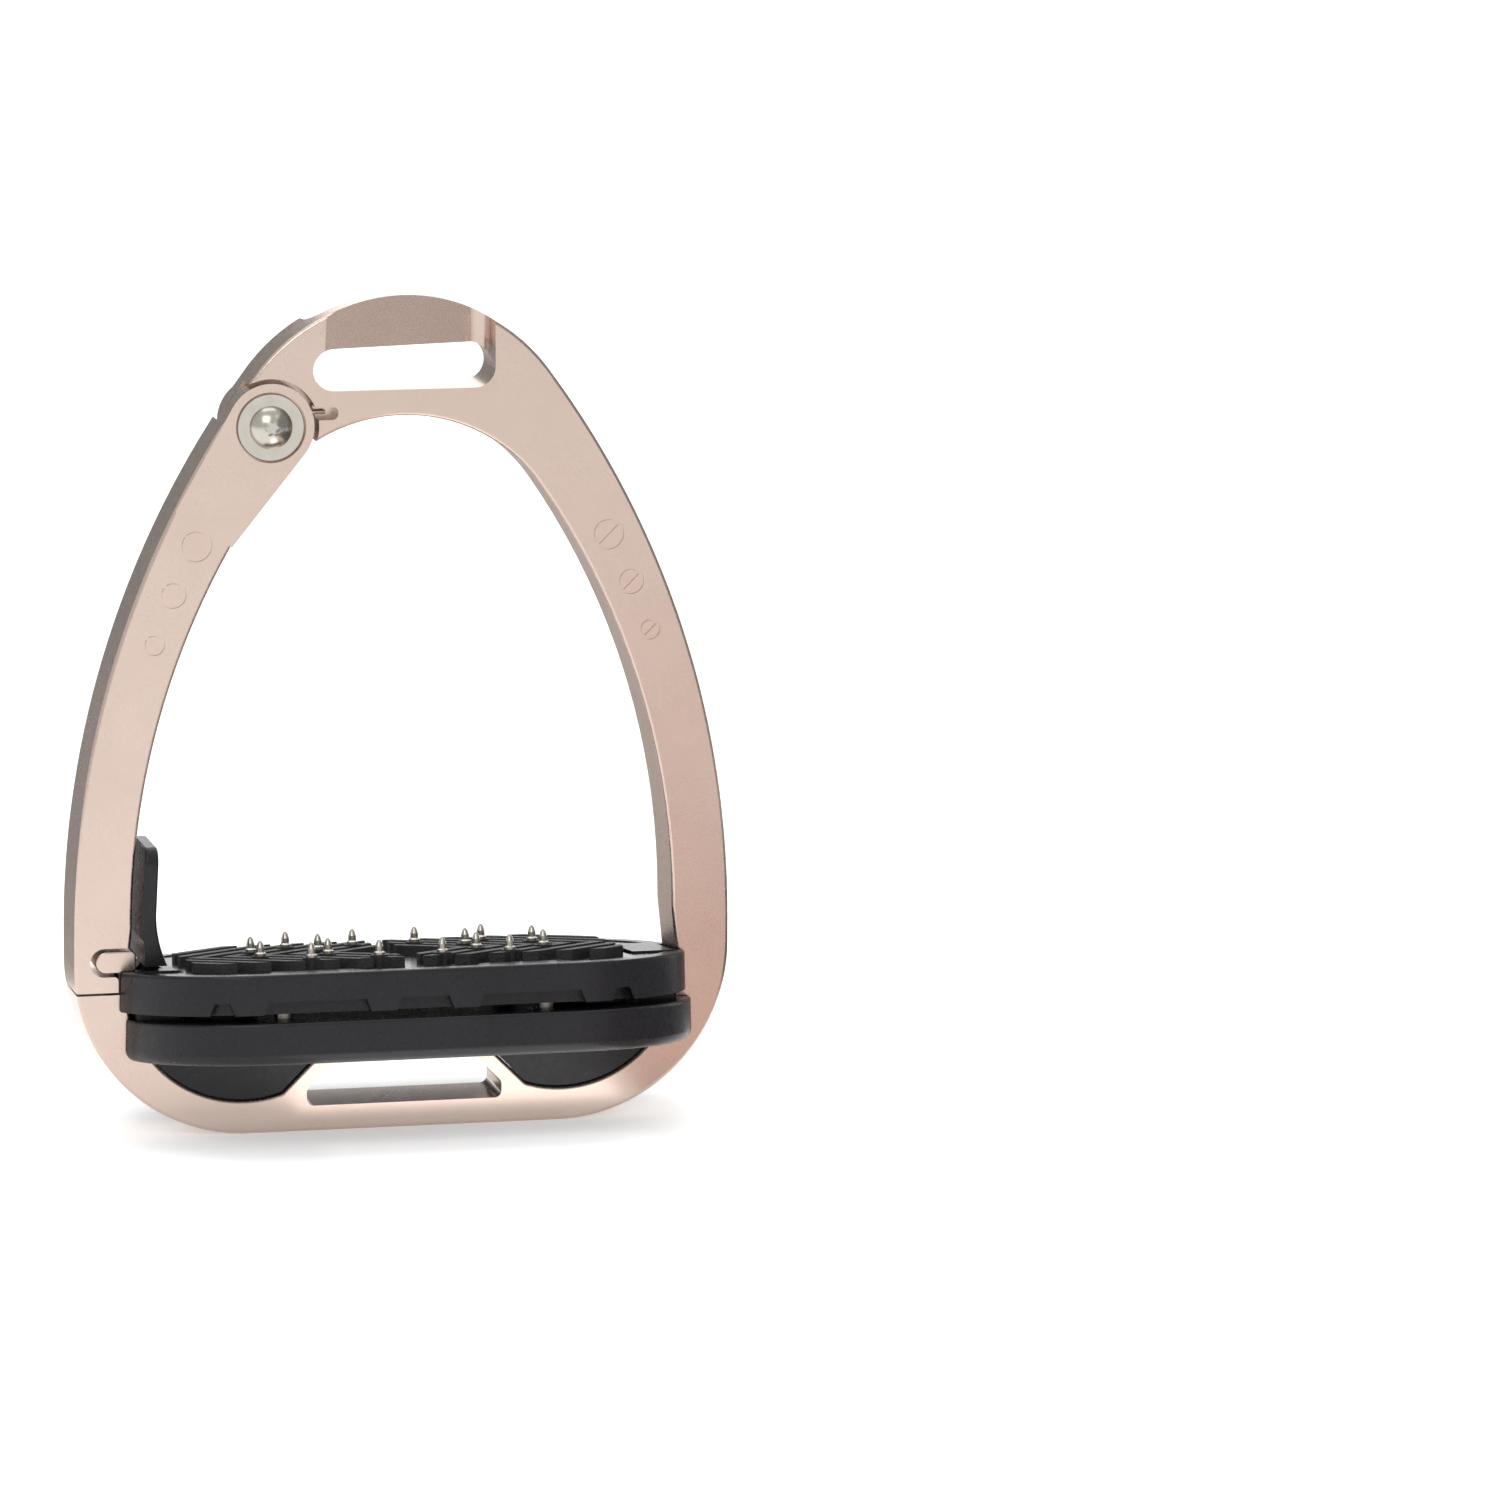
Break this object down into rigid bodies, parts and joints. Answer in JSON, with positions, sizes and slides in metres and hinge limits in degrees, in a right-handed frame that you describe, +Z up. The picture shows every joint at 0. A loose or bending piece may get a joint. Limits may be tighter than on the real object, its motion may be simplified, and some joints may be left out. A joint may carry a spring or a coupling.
{
  "type": "safety stirrup iron",
  "caption": "Riding stirrup iron with a hinged, sprung release branch and latch lever, a leather slot in the crown and a cushioned, studded foot tread.",
  "frame": {"origin": "centre of the flat underside of the bottom bar, in the frame's middle plane", "axes": "+X towards the fixed branch, -X towards the hinged branch, -Y towards the rider's toe, +Z up to the leather slot"},
  "size_m": [0.1406, 0.072, 0.1768],
  "materials": {
    "rose_alloy": "satin anodised, rose gold",
    "bright_steel": "polished stainless",
    "spring_steel": "bright drawn wire",
    "bearing_plastic": "smooth",
    "gloss_black": "semi-gloss moulded",
    "plate_black": "satin moulded",
    "grit_black": "gritty",
    "elastomer": "matte"
  },
  "bodies": {
    "frame": {"frame": "rose_alloy", "latch_tongue": "rose_alloy", "hinge_screw": "bright_steel", "hinge_washer": "bright_steel", "hinge_bush": "bearing_plastic", "return_spring": "spring_steel", "lever_pin": "bright_steel", "lever_spring": "spring_steel", "tread_base": "gloss_black", "base_screws": "bright_steel", "pocket_insert_left": "gloss_black", "pocket_insert_right": "gloss_black", "damper_pads": "elastomer"},
    "release_arm": {"release_arm": "rose_alloy"},
    "lever": {"release_lever": "gloss_black"},
    "tread": {"tread_tray": "gloss_black", "grip_plate": "plate_black", "grip_ribs": "grit_black", "grip_studs": "bright_steel", "plate_screws": "bright_steel", "tray_shoulder_screws": "bright_steel"}
  },
  "joints": [
    {"name": "arm_swing", "type": "hinge", "parent": "frame", "child": "release_arm", "pos_m": [-0.028, 0, 0.1501], "axis": [0, 1, 0], "range_deg": [0, 50], "stiffness_Nm_per_rad": 0.35, "springref_deg": -34.38, "deforming": ["return_spring"]},
    {"name": "lever_tilt", "type": "hinge", "parent": "frame", "child": "lever", "pos_m": [-0.0542, 0, 0.0344], "axis": [0, -1, 0], "range_deg": [0, 12], "deforming": ["lever_spring"]},
    {"name": "tread_cushion", "type": "slide", "parent": "frame", "child": "tread", "axis": [0, 0.1219, 0.9925], "range_m": [-0.0016, 0], "stiffness_N_per_m": 8000, "springref_m": 0.0005, "deforming": ["damper_pads"]}
  ],
  "couplings": [
    {"joint": "lever_tilt", "follows": "arm_swing", "ratio": 0.24}
  ]
}
